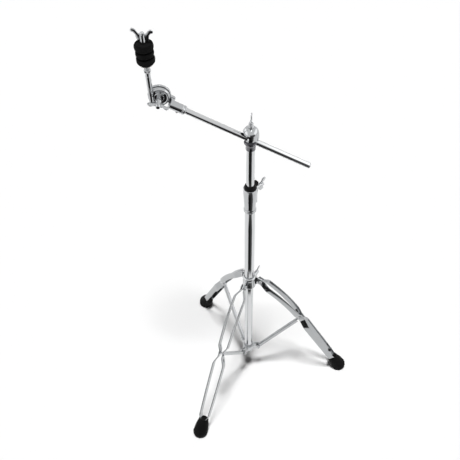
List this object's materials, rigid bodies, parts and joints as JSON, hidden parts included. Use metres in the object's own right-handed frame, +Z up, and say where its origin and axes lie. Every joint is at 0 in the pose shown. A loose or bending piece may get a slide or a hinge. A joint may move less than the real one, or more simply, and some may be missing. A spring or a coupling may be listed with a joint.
{
  "type": "boom cymbal stand",
  "caption": "Folding tripod cymbal stand with double-strip legs, telescopic mast, tilting sliding boom and a cymbal tilter with felts and wing nut.",
  "frame": {"origin": "on the floor, under the middle of the stand's outline seen from above", "axes": "+Z up along the mast; +X towards the leg opposite the boom's cymbal end, the boom lies in the XZ plane with its cymbal end towards -X; +Y completes the right-handed frame"},
  "size_m": [0.6036, 0.5656, 1.3314],
  "materials": {
    "chrome": "polished chrome plate on steel",
    "nylon": "black moulded nylon",
    "rubber": "black moulded rubber",
    "felt": "pressed black felt",
    "steel": "bright zinc plate"
  },
  "bodies": {
    "column": {"base_tube": "chrome", "hub_casting": "chrome", "leg_1_bush": "nylon", "leg_2_bush": "nylon", "leg_3_bush": "nylon", "clamp_casting": "chrome", "clamp_bush": "nylon"},
    "hub_wing": {"hub_wing_bolt": "chrome"},
    "clamp_wing": {"clamp_wing_bolt": "chrome"},
    "stem": {"stem_tube": "chrome", "stem_cap": "nylon", "brace_collar": "chrome", "collar_bolt_1": "chrome", "collar_bolt_2": "chrome", "collar_bolt_3": "chrome"},
    "mast": {"mast_tube": "chrome"},
    "tilter_head": {"tilter_cup": "chrome", "tilter_bell": "chrome", "tilter_saddle": "nylon", "tilter_screw_left": "steel", "tilter_screw_right": "steel"},
    "tilter_wing": {"tilter_wing_bolt": "chrome"},
    "boom_clamp": {"tilter_ball": "chrome"},
    "boom": {"boom_tube": "chrome", "boom_end_plug": "chrome"},
    "boom_tip": {"boom_socket": "chrome", "socket_screw": "steel", "tilter_washer": "nylon", "tilter_bolt": "chrome"},
    "tilter_nut": {"tilter_wing_nut": "chrome"},
    "cymbal_arm": {"rod_bracket": "chrome", "cymbal_rod": "chrome", "rod_lock_collar": "chrome", "felt_seat": "steel", "rod_sleeve": "nylon", "felt_lower": "felt", "felt_middle": "felt", "felt_upper": "felt"},
    "top_nut": {"top_wing_nut": "chrome"},
    "leg_1": {"leg_1_strip_left": "chrome", "leg_1_strip_right": "chrome", "leg_1_pivot_pin": "chrome", "leg_1_rivet": "chrome", "leg_1_foot": "rubber"},
    "brace_1": {"brace_1": "chrome"},
    "leg_2": {"leg_2_strip_left": "chrome", "leg_2_strip_right": "chrome", "leg_2_pivot_pin": "chrome", "leg_2_rivet": "chrome", "leg_2_foot": "rubber"},
    "brace_2": {"brace_2": "chrome"},
    "leg_3": {"leg_3_strip_left": "chrome", "leg_3_strip_right": "chrome", "leg_3_pivot_pin": "chrome", "leg_3_rivet": "chrome", "leg_3_foot": "rubber"},
    "brace_3": {"brace_3": "chrome"}
  },
  "joints": [
    {"name": "leg_1_fold", "type": "hinge", "parent": "column", "child": "leg_1", "pos_m": [-0.03764, -0.02858, 0.441], "axis": [0.866, -0.5, 0], "range_deg": [0, 30]},
    {"name": "leg_2_fold", "type": "hinge", "parent": "column", "child": "leg_2", "pos_m": [0.01185, 0, 0.441], "axis": [0, 1, 0], "range_deg": [0, 30.5]},
    {"name": "leg_3_fold", "type": "hinge", "parent": "column", "child": "leg_3", "pos_m": [-0.03764, 0.02858, 0.441], "axis": [-0.866, -0.5, 0], "range_deg": [0, 30.5]},
    {"name": "stem_slide", "type": "slide", "parent": "column", "child": "stem", "axis": [0, 0, -1], "range_m": [0, 0.0911]},
    {"name": "brace_1_fold", "type": "hinge", "parent": "stem", "child": "brace_1", "pos_m": [-0.03714, -0.02771, 0.1105], "axis": [-0.866, 0.5, 0], "range_deg": [0, 34]},
    {"name": "brace_2_fold", "type": "hinge", "parent": "stem", "child": "brace_2", "pos_m": [0.01086, 0, 0.1105], "axis": [0, -1, 0], "range_deg": [0, 34]},
    {"name": "brace_3_fold", "type": "hinge", "parent": "stem", "child": "brace_3", "pos_m": [-0.03714, 0.02771, 0.1105], "axis": [0.866, 0.5, 0], "range_deg": [0, 34]},
    {"name": "mast_height", "type": "slide", "parent": "column", "child": "mast", "axis": [0, 0, 1], "range_m": [-0.12, 0.15]},
    {"name": "head_turn", "type": "hinge", "parent": "mast", "child": "tilter_head", "pos_m": [-0.02115, 0, 1.001], "axis": [0, 0, 1], "continuous": true},
    {"name": "boom_tilt", "type": "hinge", "parent": "tilter_head", "child": "boom_clamp", "pos_m": [-0.02115, 0, 1.001], "axis": [0, 1, 0], "range_deg": [-30, 10]},
    {"name": "boom_slide", "type": "slide", "parent": "boom_clamp", "child": "boom", "axis": [-0.866, 0, 0.5], "range_m": [-0.165, 0.15]},
    {"name": "boom_roll", "type": "hinge", "parent": "boom", "child": "boom_tip", "pos_m": [-0.24674, 0, 1.13125], "axis": [0.866, 0, -0.5], "range_deg": [-180, 180]},
    {"name": "cymbal_tilt", "type": "hinge", "parent": "boom_tip", "child": "cymbal_arm", "pos_m": [-0.24674, 0.0135, 1.13125], "axis": [0, 1, 0], "range_deg": [-75, 60]},
    {"name": "hub_wing_turn", "type": "hinge", "parent": "column", "child": "hub_wing", "pos_m": [-0.00355, 0.02709, 0.441], "axis": [0.5446, 0.8387, 0], "continuous": true},
    {"name": "clamp_wing_turn", "type": "hinge", "parent": "column", "child": "clamp_wing", "pos_m": [0.00207, 0.01948, 0.8197], "axis": [0.766, 0.6428, 0], "continuous": true},
    {"name": "tilter_wing_turn", "type": "hinge", "parent": "tilter_head", "child": "tilter_wing", "pos_m": [-0.02115, 0, 1.0423], "axis": [0, 0, 1], "continuous": true},
    {"name": "tilter_nut_turn", "type": "hinge", "parent": "boom_tip", "child": "tilter_nut", "pos_m": [-0.24674, -0.0101, 1.13125], "axis": [0, -1, 0], "continuous": true},
    {"name": "top_nut_turn", "type": "hinge", "parent": "cymbal_arm", "child": "top_nut", "pos_m": [-0.27276, 0.0059, 1.29147], "axis": [-0.0436, 0, 0.999], "continuous": true}
  ],
  "couplings": [
    {"joint": "leg_2_fold", "follows": "leg_1_fold", "ratio": 1},
    {"joint": "leg_3_fold", "follows": "leg_1_fold", "ratio": 1},
    {"joint": "stem_slide", "follows": "leg_1_fold", "m_per_rad": 0.17011},
    {"joint": "brace_1_fold", "follows": "leg_1_fold", "ratio": 1.111},
    {"joint": "brace_2_fold", "follows": "leg_1_fold", "ratio": 1.111},
    {"joint": "brace_3_fold", "follows": "leg_1_fold", "ratio": 1.111}
  ]
}
